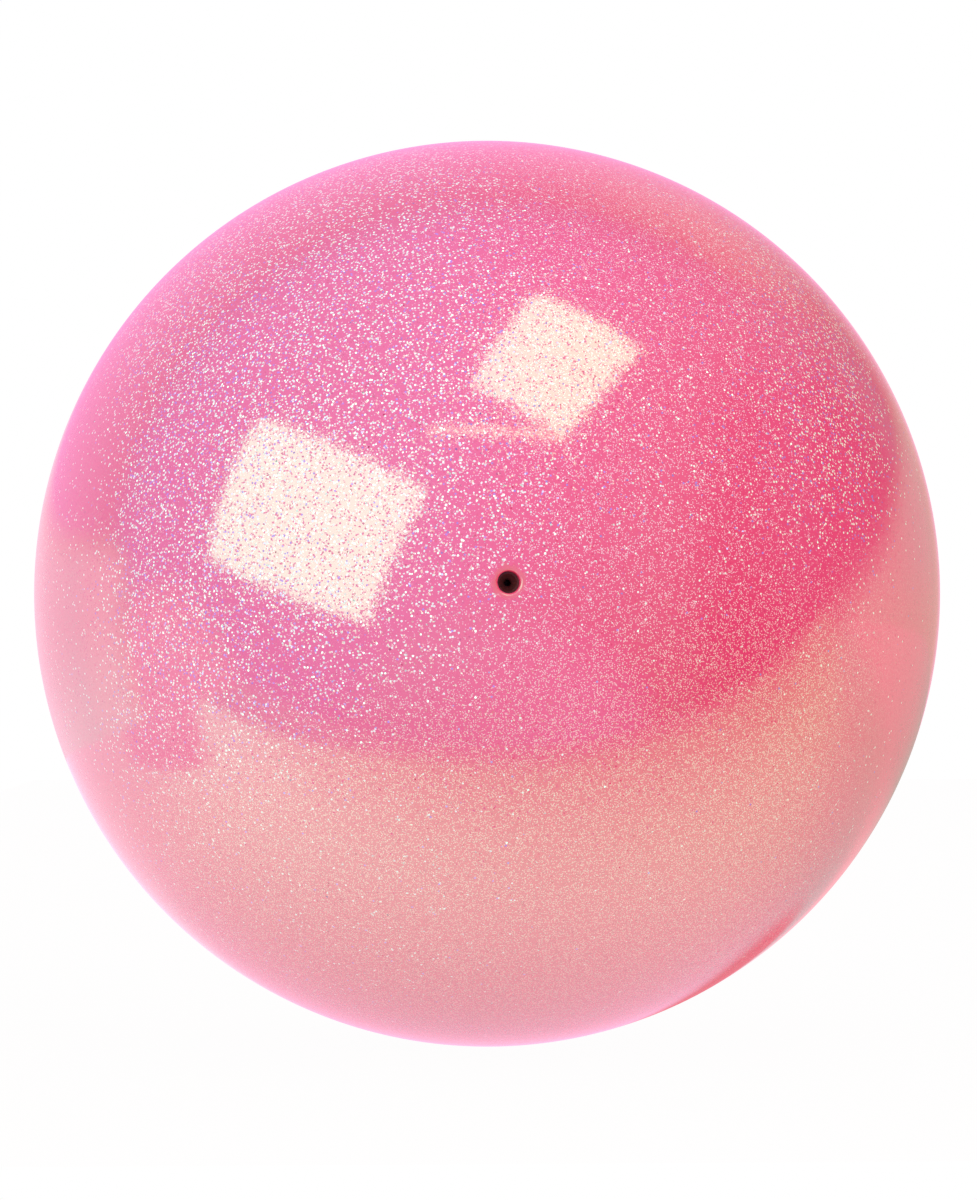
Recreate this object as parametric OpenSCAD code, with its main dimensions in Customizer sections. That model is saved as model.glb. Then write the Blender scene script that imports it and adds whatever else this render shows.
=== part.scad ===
// Inflatable glitter ball with a recessed self-sealing needle valve.
// The ball's centre is the origin, +Z is up and the valve looks along -Y.
// Every piece is turned about the valve axis, from a profile whose X is the
// distance from that axis and whose Y runs from the ball's centre to the valve.

/* [Ball] */
// Outer diameter, over the clear topcoat
ball_d = 180; // [150:5:200]
// Thickness of the clear topcoat
topcoat_t = 0.15; // [0.1:0.05:0.25]
// Thickness of the glitter skin
skin_t = 0.35; // [0.2:0.05:0.6]
// Thickness of the moulded rubber carcass
carcass_t = 3.1; // [2.4:0.1:4.5]

/* [Needle mouth] */
// Diameter of the hole that the pump needle enters
mouth_d = 3.9; // [3:0.1:4.6]
// Radius of the mouth's rounded lip
lip_r = 0.6; // [0.4:0.1:1]
// Diameter of the bare rubber collar that the glitter stops at
collar_d = 7.6; // [7:0.2:11]
// Depth of the collar's top under the glitter, which the topcoat fills
collar_dip = 0.1; // [0.05:0.05:0.2]

/* [Valve housing] */
// Diameter of the flange that is bonded to the inner wall
flange_d = 31; // [24:1:40]
// Thickness of the flange round the barrel
flange_t = 2; // [1.4:0.1:3]
// Thickness of the flange at its feathered edge
flange_edge_t = 0.5; // [0.3:0.1:1]
// Thickness of the barrel's side wall round the core
barrel_wall_t = 2.6; // [2:0.1:4]
// Thickness of the barrel's end wall
barrel_end_t = 1.8; // [1.4:0.1:3]
// Radius of the fillet between the flange and the barrel
root_r = 1.6; // [0.8:0.1:2.4]
// Radius of the barrel's rounded end
barrel_end_r = 1.2; // [0.6:0.1:1.8]
// Diameter of the air hole in the barrel's end wall
vent_d = 3.2; // [2.4:0.1:4.4]

/* [Valve core] */
// Diameter of the plug
core_d = 7.6; // [6.8:0.1:9]
// Length of the plug's round body, from its face to the duckbill
core_body_len = 7.4; // [6.6:0.2:9]
// Length of the duckbill
bill_len = 4.2; // [3.4:0.2:5]
// Diameter of the duckbill's tip
bill_d = 5.4; // [4.8:0.1:6.4]
// Thickness of the duckbill's two lips together, at the tip
bill_tip_t = 1.5; // [1.2:0.1:2.2]
// Radius of the bead that snaps into the housing's groove
bead_r = 1.1; // [0.7:0.1:1.4]
// Depth of the bead's middle under the plug's face
bead_depth = 3.4; // [2.4:0.1:4]
// Mouth diameter of the funnel that guides the needle
funnel_d = 3.2; // [2.4:0.1:4]
// Depth of the funnel
funnel_depth = 1.5; // [1:0.1:2]
// Diameter of the needle channel
channel_d = 1.2; // [0.8:0.1:1.6]
// Depth at which the channel ends and the sealing slit starts, short of the tip
slit_len = 2.6; // [1.6:0.1:3]
// Width of the sealing slit across the tip
slit_span = 3.2; // [2:0.1:4]
// Gap between the slit's relaxed faces
slit_w = 0.1; // [0.06:0.02:0.2]

/* [Fits] */
// Greased clearance between the core and the housing
core_gap = 0.05; // [0.03:0.01:0.1]
// Air space between the duckbill's tip and the barrel's end wall
bill_gap = 0.8; // [0.5:0.1:1.5]

/* [Hidden] */
$fn = 144;

// How far a cut runs past what it cuts
overrun = 1;
// How far the lip's circle stands past the ball's outline, so that the two cross cleanly
lip_cross = 0.005;

// Radii of the nested layers, each one seated on the next
ball_r = ball_d / 2;
skin_r = ball_r - topcoat_t;
carcass_r = skin_r - skin_t;
cavity_r = carcass_r - carcass_t;

// The collar's top lies a little under the skin's outer face
collar_r = collar_d / 2;
collar_top_r = skin_r - collar_dip;

// The lip's circle follows on from the bore and runs out into the ball's outline
mouth_r = mouth_d / 2;
lip_x = mouth_r + lip_r;
lip_y = height_over(lip_x, ball_r - lip_r + lip_cross);
lip_edge_x = lip_x * ball_r / (ball_r - lip_r);

// The core's flat face lies just under the inner wall
core_r = core_d / 2;
seat_r = core_r + core_gap;
face_y = height_over(seat_r, cavity_r) - core_gap;
bead_y = face_y - bead_depth;
bill_y = face_y - core_body_len;
tip_y = bill_y - bill_len;
bill_r = bill_d / 2;
funnel_r = funnel_d / 2;
channel_r = channel_d / 2;

// The housing wraps the core and follows the inner wall
seat_end_y = tip_y - bill_gap;
barrel_y = seat_end_y - barrel_end_t;
barrel_r = seat_r + barrel_wall_t;
flange_r = flange_d / 2;
flange_y = cavity_r - flange_t;
flange_edge_y = height_over(flange_r, cavity_r) - flange_edge_t;
vent_r = vent_d / 2;

// Height at which a circle of radius r, round the ball's centre, stands x off the valve axis
function height_over(x, r) = sqrt(pow(r, 2) - pow(x, 2));

// Turns a profile about the valve axis and lays that axis along -Y
module turned() {
    rotate([90, 0, 0]) rotate_extrude() children();
}

// The half of a disc round the ball's centre that lies on the profile's side of the axis
module half_disc(r) {
    intersection() {
        circle(r);
        translate([0, -r]) square([r, 2 * r]);
    }
}

// Profile of what the topcoat covers, from the ball's centre out: the skin and the collar
module coated_profile() {
    difference() {
        half_disc(skin_r);
        square([collar_r, ball_r]);
    }
    intersection() {
        half_disc(collar_top_r);
        square([collar_r, ball_r]);
    }
}

// Profile of the mouth: a straight bore that opens out over the rounded lip
module mouth_void() {
    square([mouth_r, ball_r + overrun]);
    difference() {
        translate([0, lip_y]) square([lip_edge_x, ball_r + overrun - lip_y]);
        translate([lip_x, lip_y]) circle(lip_r);
    }
}

// Profile of a round-ended rod that stands on the axis, from y up to top
module rod_profile(r, y, top, end_r) {
    translate([0, y]) square([r - end_r, top - y]);
    translate([0, y + end_r]) square([r, top - y - end_r]);
    translate([r - end_r, y + end_r]) circle(end_r);
}

// Profile of the flange's inner side: level round the barrel, then thinning to the edge
module flange_outline() {
    level_r = barrel_r + root_r;
    polygon([
        [0, flange_y],
        [level_r, flange_y],
        [flange_r, flange_edge_y],
        [flange_r, cavity_r],
        [0, cavity_r]
    ]);
}

// Profile of the fillet between the flange's inner side and the barrel
module root_fillet() {
    difference() {
        translate([0, flange_y - root_r]) square([barrel_r + root_r, root_r + flange_t / 2]);
        translate([barrel_r + root_r, flange_y - root_r]) circle(root_r);
    }
}

// Profile of the room for the core: its bore, the bead's groove and the air hole
module core_seat() {
    translate([0, seat_end_y]) square([seat_r, cavity_r + overrun - seat_end_y]);
    translate([core_r, bead_y]) circle(bead_r + core_gap);
    translate([0, barrel_y - overrun]) square([vent_r, barrel_end_t + overrun + bill_gap]);
}

// Profile of the plug before the duckbill's flats are cut
module core_outline() {
    translate([0, bill_y]) square([core_r, core_body_len]);
    translate([core_r, bead_y]) circle(bead_r);
    polygon([[0, tip_y], [bill_r, tip_y], [core_r, bill_y], [0, bill_y]]);
}

// Profile of the needle's way in: a funnel, then a narrow channel down to the slit
module needle_way() {
    polygon([
        [0, face_y - funnel_depth],
        [channel_r, face_y - funnel_depth],
        [funnel_r, face_y],
        [funnel_r, face_y + overrun],
        [0, face_y + overrun]
    ]);
    translate([0, tip_y + slit_len]) square([channel_r, face_y - tip_y - slit_len]);
}

// One of the two slanting flats that thin the plug to a duckbill
module bill_flat() {
    rotate([90, 0, 90])
        translate([0, 0, -core_d / 2])
            linear_extrude(core_d)
                polygon([
                    [-bill_y, core_r],
                    [-tip_y, bill_tip_t / 2],
                    [-tip_y + overrun, bill_tip_t / 2],
                    [-tip_y + overrun, core_d]
                ]);
}

module clear_topcoat() {
    color([1, 0.85, 0.93, 0.35])
        turned()
            difference() {
                half_disc(ball_r);
                coated_profile();
                mouth_void();
            }
}

module glitter_skin() {
    color([0.94, 0.42, 0.64])
        turned()
            difference() {
                half_disc(skin_r);
                half_disc(carcass_r);
                square([collar_r, ball_r]);
            }
}

module ball_carcass() {
    color([0.88, 0.25, 0.47])
        turned()
            difference() {
                union() {
                    half_disc(carcass_r);
                    intersection() {
                        coated_profile();
                        square([collar_r, ball_r]);
                    }
                }
                half_disc(cavity_r);
                mouth_void();
            }
}

module valve_housing() {
    color([0.16, 0.15, 0.16])
        turned()
            difference() {
                union() {
                    intersection() {
                        half_disc(cavity_r);
                        flange_outline();
                    }
                    root_fillet();
                    rod_profile(barrel_r, barrel_y, flange_y, barrel_end_r);
                }
                core_seat();
            }
}

module valve_core() {
    color([0.08, 0.08, 0.08])
        difference() {
            turned()
                difference() {
                    core_outline();
                    needle_way();
                }
            bill_flat();
            mirror([0, 0, 1]) bill_flat();
            translate([-slit_span / 2, -tip_y - slit_len, -slit_w / 2])
                cube([slit_span, slit_len + overrun, slit_w]);
        }
}

clear_topcoat();
glitter_skin();
ball_carcass();
valve_housing();
valve_core();
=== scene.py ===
import logging
import math
from dataclasses import dataclass, field
from enum import Enum

import bpy
import numpy as np
from mathutils import Matrix, Vector


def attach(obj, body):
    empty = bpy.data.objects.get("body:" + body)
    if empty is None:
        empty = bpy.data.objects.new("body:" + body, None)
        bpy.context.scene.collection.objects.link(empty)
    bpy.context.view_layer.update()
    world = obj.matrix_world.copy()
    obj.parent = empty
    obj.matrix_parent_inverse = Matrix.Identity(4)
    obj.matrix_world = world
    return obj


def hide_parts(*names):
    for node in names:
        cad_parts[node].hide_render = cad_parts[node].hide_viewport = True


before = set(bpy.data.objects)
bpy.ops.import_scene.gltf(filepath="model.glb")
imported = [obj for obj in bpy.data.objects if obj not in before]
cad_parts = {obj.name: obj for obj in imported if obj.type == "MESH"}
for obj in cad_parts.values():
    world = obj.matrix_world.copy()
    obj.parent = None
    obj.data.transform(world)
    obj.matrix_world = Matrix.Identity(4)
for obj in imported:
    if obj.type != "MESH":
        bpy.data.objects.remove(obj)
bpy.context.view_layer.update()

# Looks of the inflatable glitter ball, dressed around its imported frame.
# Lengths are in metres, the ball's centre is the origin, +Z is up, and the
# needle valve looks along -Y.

log = logging.getLogger("glitter_ball")
MM = 0.001
SHARP_ANGLE = math.radians(32.0)
SAME_PLACE = 1e-8
Pair = tuple[float, float]
Triple = tuple[float, float, float]
Colour = Triple
Socket = bpy.types.NodeSocket
WHITE: Colour = (1.0, 1.0, 1.0)

# What the gloss mirrors of the wedge left of the ball and past the table's end,
# and the colour that the two mirrored lamps have in the skin's tinted gloss
WEDGE_LIGHT: Colour = (1.3, 0.54, 0.90)
LAMP_TINT: Colour = (0.44, 0.95, 0.62)


@dataclass(frozen=True)
class Ramp:
    """A smooth change from to_low at low to to_high at high, held past both.

    Each may be a number or a socket.
    """

    low: object
    high: object
    to_low: object = 0.0
    to_high: object = 1.0


# How the slow waves in the rubber become its shade
WAVE_SHADE = Ramp(0.35, 0.65)


# ---------------------------------------------------------------- node work


@dataclass(frozen=True)
class NodeBench:
    """Lays out the nodes of one tree and joins their sockets.

    A value may be a socket, a number or a tuple, and a colour has no alpha.
    """

    tree: bpy.types.NodeTree

    def add(self, kind: str, sources: object = (), **settings: object) -> bpy.types.Node:
        """Adds a node.

        Args:
            kind: The node's type name, without its ShaderNode prefix.
            sources: What its inputs get, in their order or by name.
            **settings: Node properties to set.

        Returns:
            The new node.
        """
        prefix = "" if kind.startswith("NodeGroup") else "ShaderNode"
        node = self.tree.nodes.new(prefix + kind)
        for name, value in settings.items():
            setattr(node, name, value)
        return self.fill(node, sources)

    def fill(self, node: bpy.types.Node, sources: object) -> bpy.types.Node:
        """Joins a node's inputs to sockets, or gives them plain values.

        Args:
            node: The node.
            sources: What its inputs get, in their order or by name.

        Returns:
            The same node.
        """
        for key, source in sources.items() if isinstance(sources, dict) else enumerate(sources):
            target = node.inputs[key]
            if isinstance(source, bpy.types.NodeSocket):
                self.tree.links.new(source, target)
            else:
                target.default_value = (*source, 1.0) if target.type == "RGBA" else source
        return node

    def maths(self, operation: str, *values: object) -> Socket:
        """Adds a Math node and returns its result."""
        return self.add("Math", values, operation=operation).outputs[0]

    def vectors(self, operation: str, *values: object) -> Socket:
        """Adds a Vector Math node and returns its result: a number for lengths and dots."""
        outputs = self.add("VectorMath", values, operation=operation).outputs
        return outputs["Value" if operation in ("LENGTH", "DISTANCE", "DOT_PRODUCT") else "Vector"]

    def scaled(self, vector: object, by: object) -> Socket:
        """Multiplies a vector or a colour by a number."""
        return self.add("VectorMath", {0: vector, "Scale": by}, operation="SCALE").outputs[0]

    def along(self, ramp: Ramp, value: object) -> Socket:
        """Maps a value smoothly along a ramp, and holds it past both ends."""
        sources = (value, ramp.low, ramp.high, ramp.to_low, ramp.to_high)
        return self.add("MapRange", sources, interpolation_type="SMOOTHSTEP").outputs[0]

    def blend(self, share: object, first: object, second: object) -> Socket:
        """Mixes two colours: share says how much of the second, 0 to 1."""
        sources = {0: share, 6: first, 7: second}
        return self.add("Mix", sources, data_type="RGBA", clamp_factor=True).outputs[2]

    def times(self, first: object, *others: object) -> Socket:
        """Multiplies numbers with each other."""
        for other in others:
            first = self.maths("MULTIPLY", first, other)
        return first

    def raised(self, value: object, by: object, base: object) -> Socket:
        """Multiplies a value and adds it to a base."""
        return self.maths("MULTIPLY_ADD", value, by, base)

    def off(self, value: object, middle: float = 0.0) -> Socket:
        """Returns how far a value is from a middle value."""
        return self.maths("ABSOLUTE", self.maths("SUBTRACT", value, middle))

    def parts(self, vector: Socket) -> tuple[Socket, ...]:
        """Splits a vector into its X, Y and Z."""
        return tuple(self.add("SeparateXYZ", (vector,)).outputs)

    def noise(self, where: Socket, per_metre: object, detail: float = 2.0) -> Socket:
        """Adds a 3D noise of so many waves to the metre, and returns its value, 0 to 1."""
        sources = {"Vector": where, "Scale": per_metre, "Detail": detail}
        return self.add("TexNoise", sources, noise_dimensions="3D").outputs[0]


def new_group(name: str, inputs: dict[str, tuple[str, object]],
              outputs: dict[str, str]) -> tuple[NodeBench, object, bpy.types.Node]:
    """Starts a shader node group with named sockets.

    Args:
        name: The group's name.
        inputs: Socket kind and default value by input name.
        outputs: Socket kind by output name.

    Returns:
        The group's bench, the sockets of its inputs and its output node.
    """
    group = bpy.data.node_groups.new(name, "ShaderNodeTree")
    for label, (kind, value) in inputs.items():
        socket = group.interface.new_socket(label, in_out="INPUT", socket_type="NodeSocket" + kind)
        if value is not None:
            socket.default_value = value
    for label, kind in outputs.items():
        group.interface.new_socket(label, in_out="OUTPUT", socket_type="NodeSocket" + kind)
    bench = NodeBench(group)
    return bench, bench.add("NodeGroupInput").outputs, bench.add("NodeGroupOutput")


def flake_field() -> bpy.types.NodeTree:
    """Builds the glitter's node group: fine flakes, pale grains and larger sparks.

    One cell of a 3D Voronoi pattern is one flake. Its place is drawn as a way in
    a cube, and a second draw gives its kind, its hue and its lean. The normal is
    the face's own plus the lean along that way. Most fine flakes lie even, and
    the ragged share leans further, by ragged lean times the draw squared. A grain
    is a disc round a fine cell's middle. A spark is a disc round a coarse cell's
    middle, and it leans by spark lean times a draw from least lean to 1.

    Returns:
        The group, with outputs Normal, Hue, Spark and Grain.
    """
    bench, take, result = new_group(
        "flake_field",
        {"Vector": ("Vector", None),
         "Flakes per metre": ("Float", 3800.0), "Even lean": ("Float", 0.02),
         "Ragged share": ("Float", 0.25), "Ragged lean": ("Float", 0.55),
         "Grain share": ("Float", 0.5), "Grain radius": ("Float", 0.44),
         "Sparks per metre": ("Float", 1900.0), "Spark share": ("Float", 0.6),
         "Spark radius": ("Float", 0.39), "Spark lean": ("Float", 0.75),
         "Least lean": ("Float", 0.35), "Cover": ("Float", 1.0)},
        {"Normal": "Vector", "Hue": "Float", "Spark": "Float", "Grain": "Float"})

    def cells(per_metre: str) -> tuple[Socket, Socket, object]:
        """Adds one Voronoi pattern: how far off a middle, each cell's way, second draw."""
        cell = bench.add("TexVoronoi", {"Vector": take["Vector"], "Scale": take[per_metre]},
                         feature="F1", voronoi_dimensions="3D").outputs
        draw = bench.add("TexWhiteNoise", {"Vector": cell["Color"]}, noise_dimensions="3D")
        way = bench.vectors("MULTIPLY_ADD", cell["Color"], (2.0, 2.0, 2.0), (-1.0, -1.0, -1.0))
        drawn = bench.add("SeparateColor", (draw.outputs["Color"],)).outputs
        return cell["Distance"], way, drawn

    fine_off, fine_way, fine = cells("Flakes per metre")
    ragged = bench.maths("LESS_THAN", fine[0], take["Ragged share"])
    further = bench.maths("POWER", fine[2], 2.0)
    far = bench.times(further, ragged, take["Ragged lean"])
    fine_push = bench.scaled(fine_way, bench.maths("ADD", far, take["Even lean"]))
    grain = bench.times(bench.maths("LESS_THAN", fine[1], take["Grain share"]),
                        bench.maths("LESS_THAN", fine_off, take["Grain radius"]))

    coarse_off, coarse_way, coarse = cells("Sparks per metre")
    spark = bench.times(bench.maths("LESS_THAN", coarse[0], take["Spark share"]),
                        bench.maths("LESS_THAN", coarse_off, take["Spark radius"]))
    spread = bench.maths("SUBTRACT", 1.0, take["Least lean"])
    reach = bench.times(bench.raised(coarse[2], spread, take["Least lean"]),
                        take["Spark lean"])
    coarse_push = bench.scaled(coarse_way, reach)

    change = bench.vectors("SUBTRACT", coarse_push, fine_push)
    push = bench.vectors("ADD", fine_push, bench.scaled(change, spark))
    push = bench.scaled(push, take["Cover"])
    face = bench.add("NewGeometry")
    tipped = bench.vectors("ADD", face.outputs["Normal"], push)
    bench.fill(result, {"Normal": bench.vectors("NORMALIZE", tipped), "Hue": coarse[1],
                        "Spark": bench.times(spark, take["Cover"]), "Grain": grain})
    return bench.tree


def rubber_grain() -> bpy.types.NodeTree:
    """Builds the moulded rubber's node group: fine grain over slow waves.

    The height is fine noise plus a share of the slow noise, and the shade is the
    slow noise alone, along WAVE_SHADE.

    Returns:
        The group, with outputs Height and Shade.
    """
    bench, take, result = new_group(
        "rubber_grain",
        {"Vector": ("Vector", None), "Grain per metre": ("Float", 3200.0),
         "Waves per metre": ("Float", 260.0), "Wave height": ("Float", 0.25)},
        {"Height": "Float", "Shade": "Float"})
    fine = bench.noise(take["Vector"], take["Grain per metre"], 3.0)
    slow = bench.noise(take["Vector"], take["Waves per metre"])
    bench.fill(result, {"Height": bench.raised(slow, take["Wave height"], fine),
                        "Shade": bench.along(WAVE_SHADE, slow)})
    return bench.tree


# ----------------------------------------------------------------- finishes


@dataclass(frozen=True)
class Place:
    """A place on the ball, in the skin's nodes."""

    across: Socket
    off_band: Socket
    height: Socket


@dataclass(frozen=True)
class GlitterFinish:
    """The glitter skin under its clear gloss, bare round the needle mouth.

    The glitter changes over the ball with two measures: off_band, the distance
    from the plane X = band_x, and height, which is Z plus slant times X.
    """

    # Colours of the body, of its grains and of the three kinds of spark; pale sparks are painted
    # glints
    pink: Colour = (0.90, 0.052, 0.18)
    plain_pink: Colour = (0.885, 0.101, 0.25)
    light_pink: Colour = (1.0, 0.58, 0.72)
    # Grain colour low on the ball: peach, a painted reflection of the white table
    table_reflection_pink: Colour = (1.0, 0.52, 0.50)
    bare_pink: Colour = (0.90, 0.022, 0.115)
    violet: Colour = (0.56, 0.34, 1.0)
    pale: Colour = (1.0, 0.94, 0.99)
    glint_gold: Colour = (1.0, 0.92, 0.80)
    gleam: Colour = (0.45, 0.95, 0.74)

    # The flakes' number, lean and kinds
    flakes_per_metre: float = 3800.0
    sparks_per_metre: float = 1900.0
    even_lean: float = 0.018
    ragged_share: float = 0.27
    ragged_lean: float = 0.55
    spark_share: float = 0.66
    spark_lean: float = 0.75
    violet_share: float = 0.24
    violet_cover: float = 0.85
    violet_metal: float = 0.3
    glint_share: float = 0.58

    # Gloss of the flakes, of the bare collar and of the coat
    flake_ior: float = 3.4
    flake_rough: float = 0.085
    spark_rough: float = 0.035
    bare_rough: float = 0.36
    coat_rough: float = 0.05
    coat_ior: float = 1.5

    # The bare collar round the mouth, with its frayed edge
    mouth: Triple = (0.0, -90.0 * MM, 0.0)
    bare: Ramp = Ramp(3.8 * MM, 4.7 * MM)
    fray: float = 2.4 * MM
    frays_per_metre: float = 700.0

    # Where the sparks lie thick or thin, the painted glints among them
    band_x: float = 25.0 * MM
    slant: float = -0.25
    sparks_off_band: Ramp = Ramp(10.0 * MM, 44.0 * MM, 0.2, 1.2)
    sparks_from: Ramp = Ramp(-60.0 * MM, 0.0, -44.0 * MM, -20.0 * MM)
    sparks_full: float = 14.0 * MM
    sparks_least: float = 0.1
    sparks_at_rim: Ramp = Ramp(64.0 * MM, 78.0 * MM, 1.0, 0.15)

    # Where the body is plainer, deeper, or has fewer or fainter grains
    plain_off_band: Ramp = Ramp(14.0 * MM, 44.0 * MM)
    plain_height: Ramp = Ramp(-30.0 * MM, -6.0 * MM)
    deep_x: float = 67.0 * MM
    plain_off_deep: Ramp = Ramp(6.0 * MM, 16.0 * MM, 0.3, 1.0)
    # Grains go from the painted table reflection's peach, low on the ball, to light pink higher up
    reflection_height: Ramp = Ramp(-30.0 * MM, 0.0)
    grains_height: Ramp = Ramp(-30.0 * MM, 0.0, 0.55, 0.40)
    grains_plain: float = -0.27
    grain_cover: float = 0.34
    calm_height: Ramp = Ramp(-20.0 * MM, 0.0, 0.0, 0.22)
    calm_at_rim: Ramp = Ramp(52.0 * MM, 76.0 * MM, 0.0, 0.85)

    # How the violet drifts over the ball, and the painted glints turn cream-yellow towards +X
    drifts_per_metre: float = 14.0
    violet_drift: Ramp = Ramp(0.34, 0.56, 0.2, 1.0)
    glint_warmth: Ramp = Ramp(-10.0 * MM, 65.0 * MM)

    def make(self) -> bpy.types.Material:
        """Builds the material.

        Returns:
            The finished material.
        """
        material, bench, shader = new_finish("glitter_under_gloss")
        where = bench.add("TexCoord").outputs["Object"]
        across, _, up = bench.parts(where)
        spot = Place(across, bench.off(across, self.band_x),
                     bench.raised(across, self.slant, up))
        plain = bench.times(bench.along(self.plain_off_band, spot.off_band),
                            bench.along(self.plain_height, spot.height))
        grains = bench.raised(plain, self.grains_plain,
                              bench.along(self.grains_height, spot.height))
        cover = self.cover(bench, where)
        flakes = bench.add("Group", {
            "Vector": where, "Flakes per metre": self.flakes_per_metre,
            "Sparks per metre": self.sparks_per_metre, "Even lean": self.even_lean,
            "Ragged share": self.ragged_share, "Ragged lean": self.ragged_lean,
            "Grain share": grains, "Spark lean": self.spark_lean, "Cover": cover,
            "Spark share": bench.times(self.thickness(bench, spot), self.spark_share),
        }, node_tree=self.field()).outputs
        hue, spark = flakes["Hue"], flakes["Spark"]
        drift = bench.along(self.violet_drift, bench.noise(where, self.drifts_per_metre))
        violets = bench.times(
            bench.maths("LESS_THAN", hue, bench.times(drift, self.violet_share)), spark)
        # Pale sparks are painted glints: a near-white base colour stands in for flakes that catch
        # a lamp
        painted_glints = bench.times(bench.maths("GREATER_THAN", hue, 1.0 - self.glint_share), spark)

        off_deep = bench.off(across, self.deep_x)
        pink = bench.blend(bench.times(plain, bench.along(self.plain_off_deep, off_deep)),
                           self.pink, self.plain_pink)
        light = bench.blend(bench.along(self.reflection_height, spot.height), self.table_reflection_pink,
                            self.light_pink)
        grain = self.calmed(bench, spot, flakes["Grain"], grains)
        body = bench.blend(cover, self.bare_pink, bench.blend(grain, pink, light))
        body = bench.blend(bench.times(violets, self.violet_cover), body, self.violet)
        # The painted glints' colour, white turning cream-yellow towards +X
        bright = bench.blend(bench.along(self.glint_warmth, across), self.pale, self.glint_gold)
        bare = bench.maths("SUBTRACT", 1.0, cover)
        rough = bench.raised(bare, self.bare_rough - self.flake_rough, self.flake_rough)
        bench.fill(shader, {
            "Base Color": bench.blend(painted_glints, body, bright),
            "Metallic": bench.times(violets, self.violet_metal),
            "Roughness": bench.raised(spark, self.spark_rough - self.flake_rough, rough),
            "IOR": self.flake_ior, "Specular Tint": self.gleam, "Normal": flakes["Normal"],
            "Coat Weight": 1.0, "Coat Roughness": self.coat_rough, "Coat IOR": self.coat_ior})
        return material

    def cover(self, bench: NodeBench, where: Socket) -> Socket:
        """Masks the glitter: 0 on the bare collar and 1 past its frayed edge.

        Args:
            bench: The material's bench.
            where: The place on the ball.

        Returns:
            The mask's socket.
        """
        off_mouth = bench.raised(bench.noise(where, self.frays_per_metre),
                                 self.fray, bench.vectors("DISTANCE", where, self.mouth))
        return bench.along(self.bare, off_mouth)

    def thickness(self, bench: NodeBench, spot: Place) -> Socket:
        """Gives how thick the sparks lie, painted glints among them, as a share of the most.

        Args:
            bench: The material's bench.
            spot: The place on the ball.

        Returns:
            The share's socket.
        """
        upwards = Ramp(bench.along(self.sparks_from, spot.across), self.sparks_full,
                       self.sparks_least)
        return bench.times(bench.along(self.sparks_off_band, spot.off_band),
                           bench.along(upwards, spot.height),
                           bench.along(self.sparks_at_rim, bench.off(spot.across)))

    def calmed(self, bench: NodeBench, spot: Place, grain: Socket, share: Socket) -> Socket:
        """Draws the grains towards their mean, high on the ball and near its rim.

        The mean is the share of flakes with a grain times grain_cover, the part
        of a cell that a grain's disc covers.

        Args:
            bench: The material's bench.
            spot: The place on the ball.
            grain: 1 on a grain and 0 beside it.
            share: The share of flakes with a grain.

        Returns:
            The calmed grain's socket.
        """
        calm = bench.maths("MAXIMUM", bench.along(self.calm_height, spot.height),
                           bench.along(self.calm_at_rim, bench.off(spot.across)))
        to_mean = bench.raised(share, self.grain_cover, bench.times(grain, -1.0))
        return bench.raised(calm, to_mean, grain)

    @staticmethod
    def field() -> bpy.types.NodeTree:
        """Returns the flake group, built once."""
        return bpy.data.node_groups.get("flake_field") or flake_field()


class Rubber(Enum):
    """The three rubbers: their colour, deep colour, roughness and grain height."""

    CARCASS = ((0.88, 0.09, 0.22), (0.80, 0.06, 0.17), 0.42, 0.00001)
    HOUSING = ((0.030, 0.029, 0.031), (0.018, 0.017, 0.019), 0.62, 0.00003)
    CORE = ((0.150, 0.052, 0.053), (0.120, 0.042, 0.043), 0.42, 0.000012)


@dataclass(frozen=True)
class RubberFinish:
    """A moulded rubber with a fine grain and slow changes of shade."""

    rubber: Rubber
    grain_per_metre: float = 3200.0
    waves_per_metre: float = 260.0
    rough_change: float = 0.12
    grain_strength: float = 0.6

    def make(self) -> bpy.types.Material:
        """Builds the material.

        Returns:
            The finished material.
        """
        colour, deep, rough, height = self.rubber.value
        material, bench, shader = new_finish("rubber_" + self.rubber.name.lower())
        where = bench.add("TexCoord").outputs["Object"]
        group = bpy.data.node_groups.get("rubber_grain") or rubber_grain()
        grain = bench.add("Group", {"Vector": where, "Grain per metre": self.grain_per_metre,
                                    "Waves per metre": self.waves_per_metre},
                          node_tree=group).outputs
        bump = bench.add("Bump", {"Strength": self.grain_strength, "Distance": height,
                                  "Height": grain["Height"]})
        bench.fill(shader, {
            "Base Color": bench.blend(grain["Shade"], deep, colour), "Normal": bump.outputs[0],
            "Roughness": bench.raised(grain["Shade"], self.rough_change,
                                      rough - 0.5 * self.rough_change)})
        return material


def fresh(owner: bpy.types.ID) -> NodeBench:
    """Empties the node tree of a material or a world, and returns its bench."""
    owner.use_nodes = True
    owner.node_tree.nodes.clear()
    return NodeBench(owner.node_tree)


def new_finish(name: str) -> tuple[bpy.types.Material, NodeBench, bpy.types.Node]:
    """Starts a material that ends in one Principled shader.

    Args:
        name: The material's name.

    Returns:
        The material, a bench on its tree and the shader's node.
    """
    material = bpy.data.materials.new(name)
    bench = fresh(material)
    shader = bench.add("BsdfPrincipled")
    bench.add("OutputMaterial", {"Surface": shader.outputs[0]})
    return material, bench, shader


# ------------------------------------------------------------------- shapes


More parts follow.
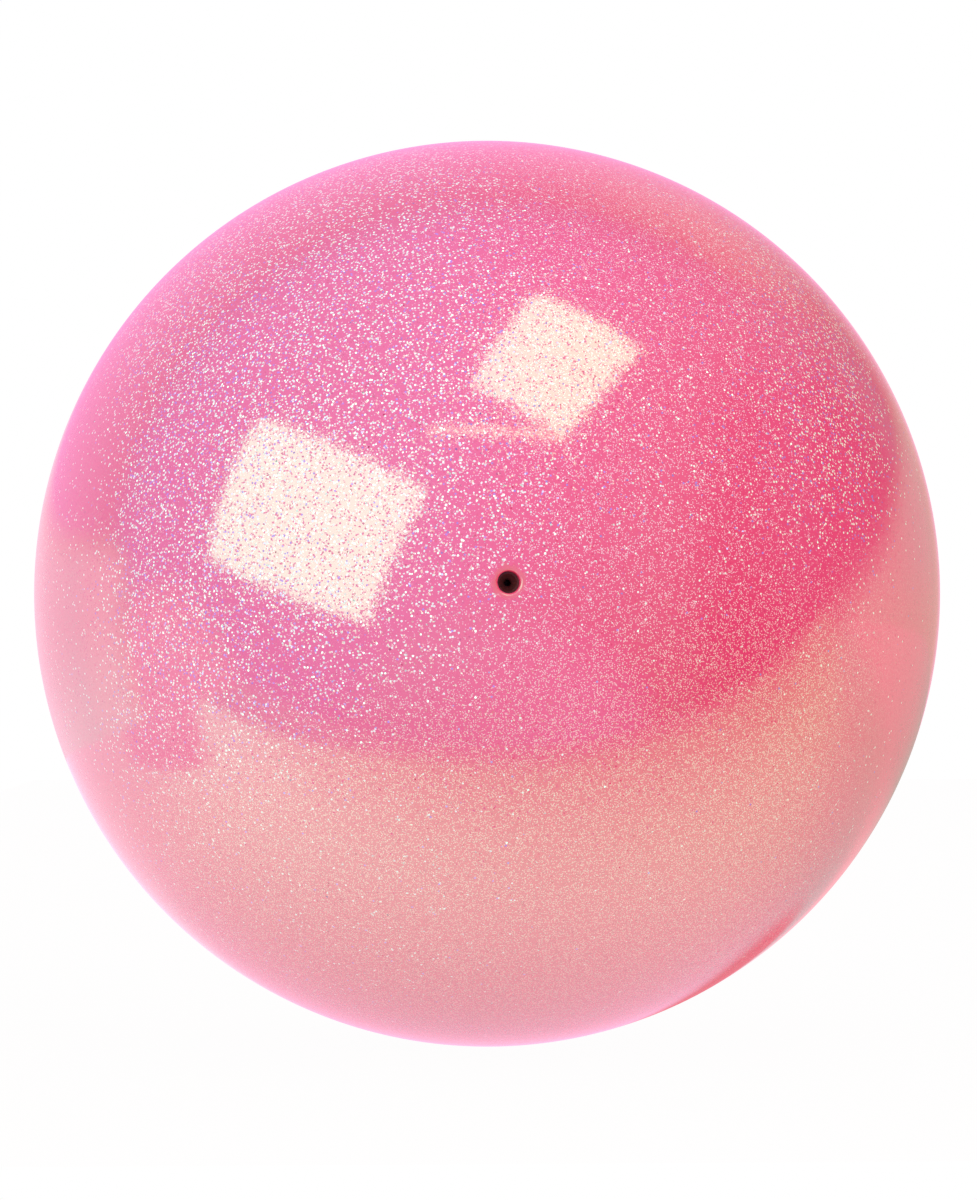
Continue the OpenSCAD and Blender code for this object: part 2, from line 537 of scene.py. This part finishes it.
@dataclass
class Outline:
    """An outline in the valve's half plane, as rows of (off the axis, along the axis)."""

    runs: list[np.ndarray] = field(default_factory=list)

    def line(self, start: Pair, end: Pair, rows: int) -> None:
        """Adds a straight run: start plus an even share of the way to end.

        Args:
            start: First point.
            end: Last point.
            rows: How many points, both ends included.
        """
        share = np.linspace(0.0, 1.0, rows)[:, None]
        self.runs.append(np.array(start) + share * (np.array(end) - np.array(start)))

    def arc(self, centre: Pair, radius: float, start: float, end: float,
            rows: int, gather: float = 1.0) -> None:
        """Adds a circular run: centre plus radius times (sin a, cos a).

        The angle a runs from start to end, by an even share to the power gather,
        so that a gather over 1 draws the rows together at the start.

        Args:
            centre: The circle's centre.
            radius: Its radius.
            start: First angle, from the valve's direction.
            end: Last angle.
            rows: How many points, both ends included.
            gather: The power.
        """
        share = np.linspace(0.0, 1.0, rows) ** gather
        angle = start + share * (end - start)
        ring = np.stack([np.sin(angle), np.cos(angle)], axis=1)
        self.runs.append(np.array(centre) + radius * ring)

    def sphere(self, radius: float, start: float, end: float, rows: int,
               gather: float = 1.0) -> None:
        """Adds a circular run round the ball's centre."""
        self.arc((0.0, 0.0), radius, start, end, rows, gather)

    def points(self) -> np.ndarray:
        """Returns the outline's points, with repeated ones left out."""
        every = np.concatenate(self.runs)
        step = np.linalg.norm(np.diff(every, axis=0), axis=1)
        kept = every[np.concatenate([[True], step > SAME_PLACE])]
        kept[np.abs(kept[:, 0]) < SAME_PLACE, 0] = 0.0
        return kept


def turned(name: str, outline: Outline, columns: int) -> bpy.types.Object:
    """Turns an outline about the valve's axis into a closed mesh.

    A point (r, h) of the outline and an angle t give (r cos t, -h, r sin t). The
    outline starts and ends on the axis, or closes on itself. The faces are turned
    so that the solid's signed volume is positive, which points them outwards.

    Args:
        name: The piece's name.
        outline: The outline, in metres.
        columns: How many columns go round.

    Returns:
        The piece, smooth but for its sharp edges.
    """
    rows = outline.points()
    looped = rows[0, 0] > 0.0
    if looped and np.linalg.norm(rows[0] - rows[-1]) < SAME_PLACE:
        rows = rows[:-1]
    angle = np.linspace(0.0, 2.0 * np.pi, columns, endpoint=False)
    ring = np.stack([np.cos(angle), np.ones(columns), np.sin(angle)], axis=1)
    body = rows if looped else rows[1:-1]
    grid = np.stack([body[:, 0], -body[:, 1], body[:, 0]], axis=1)[:, None, :] * ring[None]
    points = grid.reshape(-1, 3)
    count = len(body)
    here = np.arange(count if looped else count - 1)
    below = (here + 1) % count
    turn = np.arange(columns)
    ahead = (turn + 1) % columns
    quads = np.stack([(row[:, None] * columns + column[None]).ravel() for row, column in (
        (here, turn), (here, ahead), (below, ahead), (below, turn))], axis=1)
    fans = np.zeros((0, 3), int)
    if not looped:
        first, last = len(points), len(points) + 1
        ends = np.array([[0.0, -rows[0, 1], 0.0], [0.0, -rows[-1, 1], 0.0]])
        points = np.concatenate([points, ends])
        base = (count - 1) * columns
        fans = np.concatenate([
            np.stack([np.full(columns, first), ahead, turn], axis=1),
            np.stack([np.full(columns, last), base + turn, base + ahead], axis=1)])
    triangles = np.concatenate([quads[:, [0, 1, 2]], quads[:, [0, 2, 3]], fans])
    a, b, c = (points[triangles[:, k]] for k in range(3))
    if np.einsum("ij,ij->i", a, np.cross(b, c)).sum() < 0.0:
        quads, fans = quads[:, ::-1], fans[:, ::-1]
    return meshed(name, points, quads, fans)


def meshed(name: str, points: np.ndarray, quads: np.ndarray,
           fans: np.ndarray) -> bpy.types.Object:
    """Puts points and faces into a new mesh object.

    Args:
        name: The object's name.
        points: Vertex places.
        quads: Four vertex numbers a row.
        fans: Three vertex numbers a row.

    Returns:
        The object, linked to the scene.
    """
    mesh = bpy.data.meshes.new(name)
    corners = np.concatenate([quads.ravel(), fans.ravel()]).astype(np.int32)
    sizes = np.concatenate([np.full(len(quads), 4), np.full(len(fans), 3)])
    starts = np.concatenate([[0], np.cumsum(sizes)[:-1]]).astype(np.int32)
    mesh.vertices.add(len(points))
    mesh.vertices.foreach_set("co", points.astype(np.float32).ravel())
    mesh.loops.add(len(corners))
    mesh.loops.foreach_set("vertex_index", corners)
    mesh.polygons.add(len(sizes))
    mesh.polygons.foreach_set("loop_start", starts)
    mesh.update(calc_edges=True)
    mesh.validate()
    mesh.shade_smooth()
    mesh.set_sharp_from_angle(angle=SHARP_ANGLE)
    piece = bpy.data.objects.new(name, mesh)
    bpy.context.scene.collection.objects.link(piece)
    return piece


# ------------------------------------------------------------------- pieces


@dataclass
class BallSizes:
    """Sizes of the nested layers and of the needle mouth, as in the CAD model."""

    ball_r: float = 90.0 * MM
    topcoat_t: float = 0.15 * MM
    skin_t: float = 0.35 * MM
    carcass_t: float = 3.1 * MM
    mouth_r: float = 1.95 * MM
    lip_r: float = 0.6 * MM
    lip_cross: float = 0.005 * MM
    collar_r: float = 3.8 * MM
    collar_dip: float = 0.1 * MM

    @property
    def skin_r(self) -> float:
        """Outer radius of the glitter skin."""
        return self.ball_r - self.topcoat_t

    @property
    def carcass_r(self) -> float:
        """Outer radius of the carcass, which the skin lies on."""
        return self.skin_r - self.skin_t

    @property
    def cavity_r(self) -> float:
        """Radius of the air room."""
        return self.carcass_r - self.carcass_t

    @property
    def collar_top_r(self) -> float:
        """Radius of the bare collar's top, under the topcoat."""
        return self.skin_r - self.collar_dip

    @property
    def lip_centre(self) -> Pair:
        """Centre of the lip's circle: it is tangent to the bore and crosses the outline."""
        off = self.mouth_r + self.lip_r
        reach = self.ball_r - self.lip_r + self.lip_cross
        return off, math.sqrt(reach**2 - off**2)

    def lip_angle(self, radius: float) -> float:
        """Angle on the lip's circle at which it stands radius from the ball's centre.

        The law of cosines in the triangle of the ball's centre, the lip's centre
        and the point gives the angle at the lip's centre.

        Args:
            radius: Distance from the ball's centre.

        Returns:
            The angle from the valve's direction, below zero towards the axis.
        """
        off, along = self.lip_centre
        reach = math.hypot(off, along)
        cosine = (radius**2 - reach**2 - self.lip_r**2) / (2.0 * reach * self.lip_r)
        return math.atan2(off, along) - math.acos(max(-1.0, min(1.0, cosine)))

    def lip_point(self, radius: float) -> Pair:
        """Point of the lip's circle that stands radius from the ball's centre."""
        off, along = self.lip_centre
        angle = self.lip_angle(radius)
        return off + self.lip_r * math.sin(angle), along + self.lip_r * math.cos(angle)


@dataclass
class BallShell:
    """The seamless wall: the coated glitter skin on its moulded carcass."""

    sizes: BallSizes = field(default_factory=BallSizes)
    columns: int = 320
    carcass_columns: int = 240
    rows: int = 190
    inner_rows: int = 90
    lip_rows: int = 18
    collar_rows: int = 8
    step_rows: int = 3
    bore_rows: int = 12
    gather_in: float = 0.8
    gather_under: float = 0.7
    gather_out: float = 1.5

    def build_skin(self) -> bpy.types.Object:
        """Builds the glitter skin with its topcoat as one closed shell.

        Returns:
            The piece, in place.
        """
        s = self.sizes
        edge = s.lip_point(s.ball_r)
        outline = Outline()
        outline.sphere(s.ball_r, math.pi, math.atan2(*edge), self.rows, self.gather_in)
        outline.arc(s.lip_centre, s.lip_r, s.lip_angle(s.ball_r),
                    s.lip_angle(s.collar_top_r), self.lip_rows)
        self.collar_top(outline, outwards=True)
        outline.line(self.on(s.collar_r, s.collar_top_r), self.on(s.collar_r, s.carcass_r),
                     self.step_rows)
        outline.sphere(s.carcass_r, math.asin(s.collar_r / s.carcass_r), math.pi,
                       self.inner_rows, self.gather_out)
        return turned("glitter_skin_and_topcoat", outline, self.columns)

    def build_carcass(self) -> bpy.types.Object:
        """Builds the hollow rubber wall with its collar, lip and bore.

        Returns:
            The piece, in place.
        """
        s = self.sizes
        outline = Outline()
        outline.sphere(s.carcass_r, math.pi, math.asin(s.collar_r / s.carcass_r),
                       self.inner_rows, self.gather_under)
        outline.line(self.on(s.collar_r, s.carcass_r), self.on(s.collar_r, s.collar_top_r),
                     self.step_rows)
        self.collar_top(outline, outwards=False)
        outline.arc(s.lip_centre, s.lip_r, s.lip_angle(s.collar_top_r), -math.pi / 2,
                    self.lip_rows)
        outline.line((s.mouth_r, s.lip_centre[1]), self.on(s.mouth_r, s.cavity_r),
                     self.bore_rows)
        outline.sphere(s.cavity_r, math.asin(s.mouth_r / s.cavity_r), math.pi,
                       self.inner_rows, self.gather_out)
        return turned("moulded_carcass", outline, self.carcass_columns)

    def collar_top(self, outline: Outline, outwards: bool) -> None:
        """Adds the bare collar's top to an outline.

        Args:
            outline: The outline that gets the run.
            outwards: Whether it runs from the lip to the collar's edge.
        """
        s = self.sizes
        ends = (math.atan2(*s.lip_point(s.collar_top_r)), math.asin(s.collar_r / s.collar_top_r))
        start, end = ends if outwards else ends[::-1]
        outline.sphere(s.collar_top_r, start, end, self.collar_rows)

    @staticmethod
    def on(off: float, radius: float) -> Pair:
        """Point at a distance off the axis, on a sphere round the ball's centre."""
        return off, math.sqrt(radius**2 - off**2)

    def dress(self) -> list[bpy.types.Object]:
        """Builds both layers, gives them their finishes and fits them to the frame.

        Returns:
            The two pieces.
        """
        skin = fitted(self.build_skin(), GlitterFinish().make(), "glitter",
                      "clear_topcoat", "glitter_skin")
        carcass = fitted(self.build_carcass(), RubberFinish(Rubber.CARCASS).make(),
                         "carcass_rubber", "ball_carcass")
        return [skin, carcass]


@dataclass
class NeedleValve:
    """The self-sealing valve: the housing on the inner wall and its soft core."""

    def dress(self) -> list[bpy.types.Object]:
        """Gives the two CAD nodes their finishes.

        Returns:
            The two nodes.
        """
        nodes = []
        for name, rubber, slot in (("valve_housing", Rubber.HOUSING, "housing_rubber"),
                                   ("valve_core", Rubber.CORE, "core_rubber")):
            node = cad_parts[name]
            node.data.materials.clear()
            node.data.materials.append(RubberFinish(rubber).make())
            nodes.append(node)
        return nodes


def fitted(piece: bpy.types.Object, finish: bpy.types.Material, slot: str,
           *nodes: str) -> bpy.types.Object:
    """Gives a new piece its finish and fits it to the frame.

    Args:
        piece: The piece.
        finish: Its material.
        slot: A material slot's name; not used.
        *nodes: The CAD nodes that it stands for.

    Returns:
        The same piece.
    """
    piece.data.materials.append(finish)
    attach(piece, "root")
    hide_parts(*nodes)
    return piece


# -------------------------------------------------------------------- stage


@dataclass(frozen=True)
class SoftBox:
    """A rectangular studio lamp."""

    name: str
    centre: Triple
    across: Triple
    down: Triple
    size: Pair
    radiance: float
    mirrored: bool = True
    tint: Colour = WHITE

    def hang(self) -> bpy.types.Object:
        """Hangs the lamp, facing the ball.

        The lamp's axes are the across direction, the down direction made square
        to it, and their cross product, turned to look away from the ball.

        Returns:
            The lamp's object.
        """
        across = Vector(self.across).normalized()
        down = Vector(self.down)
        down = (down - across * down.dot(across)).normalized()
        back = across.cross(down)
        if back.dot(Vector(self.centre)) < 0.0:
            down, back = -down, -back
        data = bpy.data.lights.new(self.name, "AREA")
        data.shape = "RECTANGLE"
        data.size, data.size_y = self.size
        data.energy = self.radiance * math.pi * self.size[0] * self.size[1]
        data.color = self.tint
        lamp = bpy.data.objects.new(self.name, data)
        lamp.visible_camera = False
        lamp.visible_glossy = self.mirrored
        axes = Matrix((across, down, back)).transposed().to_4x4()
        lamp.matrix_world = Matrix.Translation(self.centre) @ axes
        bpy.context.scene.collection.objects.link(lamp)
        return lamp


@dataclass(frozen=True)
class Table:
    """The white table top, with what the ball's gloss mirrors of it.

    The mirrored colours are a painted reflection, seen by glossy rays alone.
    Left and right, near and far are places on the table, in metres from the
    point under the ball.
    """

    height: float = -90.0 * MM
    left: float = -0.24
    right: float = 1.4
    front: float = -0.162
    back: float = 1.6
    steps: int = 8
    # Colour to diffuse rays: dim pink, painted bounce light that sends pinker and less light onto
    # the ball's lower half
    white: Colour = (0.82, 0.57, 0.58)
    camera_glow: float = 0.975

    left_gleam: Colour = (1.38, 1.22, 1.28)
    right_gleam: Colour = (0.22, 0.80, 0.43)
    rightwards: Ramp = Ramp(-0.14, 0.26)

    # The painted shade under the ball, and the small dark painted shadow behind it
    shade: Colour = (1.45, 0.86, 1.08)
    off_shade: Ramp = Ramp(0.0, 0.115)
    shadow: Colour = (0.9, 0.24, 0.30)
    shadow_at: Pair = (0.058, 0.04)
    off_shadow: Ramp = Ramp(0.02, 0.045)

    # The front edge, painted dimmer, and dimmest at the right
    near_slant: float = -0.15
    near: Ramp = Ramp(-0.18, -0.06, 0.5, 1.0)
    near_right: Ramp = Ramp(-0.165, -0.02, 0.3, 1.0)
    near_left: Ramp = Ramp(0.0, 0.35, 1.0, 0.0)
    edge_left: Colour = (0.8, 0.48, 0.80)
    edge_right: Colour = (0.15, 0.20, 0.15)
    edge_slant: float = 0.257
    off_edge: Ramp = Ramp(-0.168, -0.154)
    off_front: Ramp = Ramp(-0.158, -0.136)

    # The far part, by which the gleam is multiplied
    far: Ramp = Ramp(-0.09, 0.03)
    far_left: Colour = (0.95, 0.66, 0.80)
    far_right: Colour = (0.9, 0.60, 0.84)
    last: Ramp = Ramp(0.04, 0.16)
    last_right: Colour = (2.4, 0.54, 0.90)

    # The dark wedge left of the ball: its left edge, then slope, level and side of three more
    notch_left: Ramp = Ramp(-0.152, -0.142, 1.0, 0.0)
    notch_edges: tuple[Triple, ...] = (
        (-0.3, -0.0192, 1.0), (1.93, -0.3428, -1.0), (0.13, -0.0063, -1.0))
    notch_soft: Ramp = Ramp(-0.014, 0.014)

    def lay(self) -> None:
        """Lays the table top, a flat sheet that the ball rests on."""
        row = self.steps + 1
        across, along = np.meshgrid(np.linspace(self.left, self.right, row),
                                    np.linspace(self.front, self.back, row), indexing="ij")
        points = np.stack([across, along, np.full(across.shape, self.height)], axis=-1)
        corner = (np.arange(self.steps)[:, None] * row + np.arange(self.steps)[None]).ravel()
        quads = np.stack([corner, corner + row, corner + row + 1, corner + 1], axis=1)
        table = meshed("white_table", points.reshape(-1, 3), quads, np.zeros((0, 3), int))
        table.data.materials.append(self.make())

    def make(self) -> bpy.types.Material:
        """Builds the table's material.

        It is dim pink to diffuse rays, as painted bounce light on the ball, near
        white to the camera, and its gleam to glossy rays.

        Returns:
            The finished material.
        """
        material = bpy.data.materials.new("white_table_top")
        bench = fresh(material)
        path = bench.add("LightPath")
        seen = path.outputs["Is Camera Ray"]
        plain = bench.add("BsdfDiffuse", {"Color": self.white})
        glow = bench.add("Emission", {"Color": bench.blend(seen, self.gleam(bench), WHITE)})
        share = bench.raised(seen, self.camera_glow, path.outputs["Is Glossy Ray"])
        mix = bench.add("MixShader", (share, plain.outputs[0], glow.outputs[0]))
        bench.add("OutputMaterial", {"Surface": mix.outputs[0]})
        return material

    def gleam(self, bench: NodeBench) -> Socket:
        """Gives the colour that the gloss mirrors at each place of the table.

        The gleam goes from left to right, is shaded under the ball, dimmed near
        the front and multiplied by the far colours at the back. The front edge,
        the wedge and the shadow are laid over it.

        Args:
            bench: The material's bench.

        Returns:
            The colour's socket.
        """
        where = bench.add("TexCoord").outputs["Object"]
        x, y, _ = bench.parts(where)
        side = bench.along(self.rightwards, x)
        under = bench.vectors("LENGTH", bench.vectors("MULTIPLY", where, (1.0, 1.0, 0.0)))
        gleam = bench.blend(bench.along(self.off_shade, under), self.shade,
                            bench.blend(side, self.left_gleam, self.right_gleam))

        near = bench.along(self.near, bench.raised(x, self.near_slant, y))
        near_right = bench.maths("ADD", bench.along(self.near_right, y),
                                 bench.along(self.near_left, x))
        gleam = bench.scaled(gleam, bench.maths("MINIMUM", near, near_right))

        far_right = bench.blend(bench.along(self.last, y), self.far_right, self.last_right)
        far = bench.blend(bench.along(self.far, y), WHITE,
                          bench.blend(side, self.far_left, far_right))
        gleam = bench.vectors("MULTIPLY", gleam, far)

        off_edge = bench.raised(x, self.edge_slant, y)
        inside = bench.times(bench.along(self.off_edge, off_edge), bench.along(self.off_front, y))
        gleam = bench.blend(inside, bench.blend(side, self.edge_left, self.edge_right), gleam)
        gleam = bench.blend(self.notch(bench, x, y), gleam, WEDGE_LIGHT)
        behind = bench.vectors("DISTANCE", where, (*self.shadow_at, self.height))
        return bench.blend(bench.along(self.off_shadow, behind), self.shadow, gleam)

    def notch(self, bench: NodeBench, x: Socket, y: Socket) -> Socket:
        """Masks the dark wedge of table left of the ball.

        A place is inside where Y plus slope times X is past the level of each
        edge, on that edge's side.

        Args:
            bench: The material's bench.
            x: The place's X.
            y: The place's Y.

        Returns:
            The mask's socket.
        """
        mask = bench.along(self.notch_left, x)
        for slope, level, side in self.notch_edges:
            lift = bench.raised(x, slope, y)
            past = bench.times(bench.maths("SUBTRACT", lift, level), side)
            mask = bench.times(mask, bench.along(self.notch_soft, past))
        return mask


@dataclass(frozen=True)
class Ray:
    """A ray's direction in the world's nodes, and how far right it goes, 0 to 1."""

    bench: NodeBench
    way: Socket
    x: Socket
    y: Socket
    z: Socket
    right: Socket

    def on(self, way: Triple) -> Socket:
        """Returns the ray's share along a direction."""
        return self.bench.vectors("DOT_PRODUCT", self.way, way)


@dataclass(frozen=True)
class Room:
    """The pale room: white to the camera, even soft light, and what the gloss mirrors.

    The mirrored room is the brightest of a front light, a low wall and a backdrop
    behind the ball, two soft spots and a thin streak. A ray's direction alone
    says which of them it meets.
    """

    soft_light: Colour = (0.97, 0.94, 0.93)
    rightwards: Ramp = Ramp(-0.5, 0.5)

    # The low wall behind the ball, with its foot, and the tint of its last part
    wall_way: Triple = (-0.1, 0.995, 0.0)
    wall_left: Colour = (1.22, 0.76, 0.94)
    wall_foot: Colour = (1.22, 0.96, 1.10)
    wall_right: Colour = (0.26, 0.44, 0.32)
    off_foot: Ramp = Ramp(-0.25, -0.02)
    last_wall: Ramp = Ramp(0.5, 0.95)
    last_left: Colour = (0.62, 0.95, 0.95)
    last_right: Colour = (2.3, 1.0, 1.15)
    wall_top: Ramp = Ramp(0.05, 0.25, 1.0, 0.0)
    wall_rise: float = -0.1
    wall_start: Ramp = Ramp(0.06, 0.46)
    wall_shift: float = 0.21
    wall_lean: float = -2.2
    lean_from: float = -0.02

    # The backdrop, which starts later low at the right
    backdrop_way: Triple = (-0.18, 0.983, 0.04)
    backdrop_left: Colour = (1.16, 0.43, 0.82)
    backdrop_right: Colour = (0.95, 0.66, 0.60)
    backdrop_low_right: Colour = (0.75, 0.42, 0.38)
    backdrop_side: Ramp = Ramp(0.0, 0.55)
    backdrop_down: Ramp = Ramp(0.3, 0.75, 1.0, 0.0)
    backdrop_start: float = -0.1
    backdrop_delay: float = 0.6
    backdrop_full: float = 0.95

    # The soft spots low in front and at the left, and the streak
    glow_way: Triple = (-0.08, -0.787, -0.611)
    glow_light: Colour = (0.6, 0.36, 0.70)
    glow_spread: Ramp = Ramp(0.60, 0.93)
    left_way: Triple = (-0.95, 0.0, -0.32)
    left_spread: Ramp = Ramp(0.86, 0.98)
    streak_across: Triple = (0.052, 0.622, 0.781)
    streak_light: Colour = (2.4, 2.3, 1.9)
    streak_width: Ramp = Ramp(0.006, 0.022, 1.0, 0.0)
    streak_length: Ramp = Ramp(0.24, 0.30, 1.0, 0.0)
    streak_front: Ramp = Ramp(-0.1, 0.0, 1.0, 0.0)

    # The front light, cool from the left and dim at the right
    cool_way: Triple = (-0.9, -0.1, 0.42)
    cool_light: Colour = (0.74, 0.30, 0.80)
    cool_spread: Ramp = Ramp(-0.85, 0.7)
    cool_front: Ramp = Ramp(0.1, 0.7, 1.0, 0.0)
    warm_light: Colour = (0.11, 0.17, 0.19)
    warm_spread: Ramp = Ramp(0.64, 0.86, 1.0, 0.0)

    def paint(self) -> None:
        """Paints the room into the scene's world."""
        world = bpy.data.worlds.new("pale_room")
        bpy.context.scene.world = world
        bench = fresh(world)
        way = bench.add("TexCoord").outputs["Generated"]
        x, y, z = bench.parts(way)
        ray = Ray(bench, way, x, y, z, bench.along(self.rightwards, x))
        glow = bench.along(self.glow_spread, ray.on(self.glow_way))
        left = bench.along(self.left_spread, ray.on(self.left_way))
        light = self.front(ray)
        for part in (self.backdrop(ray), self.wall(ray), self.streak(ray),
                     bench.scaled(self.glow_light, glow),
                     bench.scaled(WEDGE_LIGHT, left)):
            light = bench.vectors("MAXIMUM", light, part)
        path = bench.add("LightPath")
        light = bench.blend(path.outputs["Is Glossy Ray"], self.soft_light, light)
        light = bench.blend(path.outputs["Is Camera Ray"], light, WHITE)
        background = bench.add("Background", {"Color": light})
        bench.add("OutputWorld", {"Surface": background.outputs[0]})

    def wall(self, ray: Ray) -> Socket:
        """Gives the low wall's light.

        The wall starts where the ray's share along wall_way, shifted to the right
        and leaning back with height there, passes wall_start, and it ends upwards
        at wall_top.

        Args:
            ray: The ray.

        Returns:
            The light's socket.
        """
        bench, right = ray.bench, ray.right
        on_wall = ray.on(self.wall_way)
        colour = bench.blend(bench.along(self.off_foot, ray.z), self.wall_foot, self.wall_left)
        colour = bench.blend(right, colour, self.wall_right)
        last = bench.vectors("MULTIPLY", colour,
                             bench.blend(right, self.last_left, self.last_right))
        colour = bench.blend(bench.along(self.last_wall, on_wall), colour, last)
        lean = bench.times(bench.maths("MAXIMUM", ray.z, self.lean_from), self.wall_lean)
        start = bench.raised(lean, right, on_wall)
        start = bench.raised(right, self.wall_shift, start)
        top = bench.raised(right, self.wall_rise, ray.z)
        return bench.scaled(colour, bench.times(
            bench.along(self.wall_start, start), bench.along(self.wall_top, top)))

    def backdrop(self, ray: Ray) -> Socket:
        """Gives the backdrop's light, which grows along backdrop_way.

        Args:
            ray: The ray.

        Returns:
            The light's socket.
        """
        bench = ray.bench
        down = bench.along(self.backdrop_down, ray.z)
        colour = bench.blend(bench.along(self.backdrop_side, ray.x), self.backdrop_left,
                             bench.blend(down, self.backdrop_right, self.backdrop_low_right))
        start = bench.raised(bench.times(ray.right, down), self.backdrop_delay,
                             self.backdrop_start)
        return bench.scaled(colour, bench.along(Ramp(start, self.backdrop_full),
                                                ray.on(self.backdrop_way)))

    def streak(self, ray: Ray) -> Socket:
        """Gives the thin bright streak: a short band round a plane through the ball.

        Args:
            ray: The ray.

        Returns:
            The light's socket.
        """
        bench = ray.bench
        return bench.scaled(self.streak_light, bench.times(
            bench.along(self.streak_width, bench.off(ray.on(self.streak_across))),
            bench.along(self.streak_length, bench.off(ray.x)),
            bench.along(self.streak_front, ray.y)))

    def front(self, ray: Ray) -> Socket:
        """Gives the front light: cool towards cool_way, and warm elsewhere.

        Args:
            ray: The ray.

        Returns:
            The light's socket.
        """
        bench = ray.bench
        cool = bench.times(bench.along(self.cool_spread, ray.on(self.cool_way)),
                           bench.along(self.cool_front, ray.y))
        warm = bench.scaled(self.warm_light, bench.along(self.warm_spread, ray.x))
        return bench.blend(cool, warm, self.cool_light)


@dataclass(frozen=True)
class Studio:
    """The table, the room round it and the lamps."""

    table: Table = Table()
    room: Room = Room()
    boxes: tuple[SoftBox, ...] = (
        SoftBox("left_soft_box", (-0.7043, -0.6315, 0.2535), (0.6995, -0.642, -0.3138),
                (-0.4583, -0.0662, -0.8863), (0.8625, 0.5951), 2.2, tint=LAMP_TINT),
        SoftBox("high_soft_box", (0.2046, -0.53, 0.7931), (-0.844, 0.2057, 0.4952),
                (0.4584, 0.7561, 0.4671), (0.4198, 0.545), 2.1, tint=LAMP_TINT),
        SoftBox("right_fill", (1.15, -0.75, 0.25), (0.55, 0.83, 0.0), (0.0, 0.0, 1.0),
                (1.4, 1.4), 1.4, mirrored=False),
    )

    def set_up(self) -> None:
        """Sets up the table, the room and the lamps."""
        self.table.lay()
        self.room.paint()
        for box in self.boxes:
            box.hang()


@dataclass(frozen=True)
class Viewpoint:
    """The camera, where the photograph was taken from.

    The ball's outline is a circle 453 pixels in radius in a frame of 977 by 1200
    pixels, its centre 1.4 pixels left of the frame's and 6.2 above it.
    """

    azimuth: float = -2.4
    elevation: float = -1.3
    lens: float = 100.0
    sensor: float = 36.0
    outline_r: float = 453.0
    frame_height: float = 1200.0
    centre_right: float = -1.4
    centre_up: float = 6.2
    ball_r: float = 90.0 * MM
    clip: Pair = (0.01, 20.0)

    def place(self) -> bpy.types.Object:
        """Places the camera.

        The outline's half angle has the tangent outline_r over the focal length in
        pixels, and the distance is the ball's radius over that angle's sine.

        Returns:
            The camera's object.
        """
        focal = self.lens / self.sensor * self.frame_height
        distance = self.ball_r / math.sin(math.atan(self.outline_r / focal))
        turn, lift = math.radians(self.azimuth), math.radians(self.elevation)
        back = Vector((math.sin(turn) * math.cos(lift), -math.cos(turn) * math.cos(lift),
                       math.sin(lift)))
        right = back.cross(Vector((0.0, 0.0, -1.0))).normalized()
        up = back.cross(right)
        scale = distance / focal
        aim = -(right * self.centre_right + up * self.centre_up) * scale
        data = bpy.data.cameras.new("viewpoint")
        data.lens, data.sensor_width = self.lens, self.sensor
        data.clip_start, data.clip_end = self.clip
        camera = bpy.data.objects.new("viewpoint", data)
        camera.location = back * distance
        camera.rotation_euler = (aim - camera.location).to_track_quat("-Z", "Y").to_euler()
        bpy.context.scene.collection.objects.link(camera)
        bpy.context.scene.camera = camera
        return camera


def main() -> None:
    """Builds the ball, its valve and the studio, and reports each piece."""
    logging.basicConfig(level=logging.INFO, format="%(name)s: %(message)s")
    for assembly in (BallShell(), NeedleValve()):
        for piece in assembly.dress():
            log.info("%s: %s has %d faces", type(assembly).__name__, piece.name,
                     len(piece.data.polygons))
    Studio().set_up()
    Viewpoint().place()
    bpy.context.scene.view_settings.view_transform = "Standard"


if __name__ == "__main__":
    main()
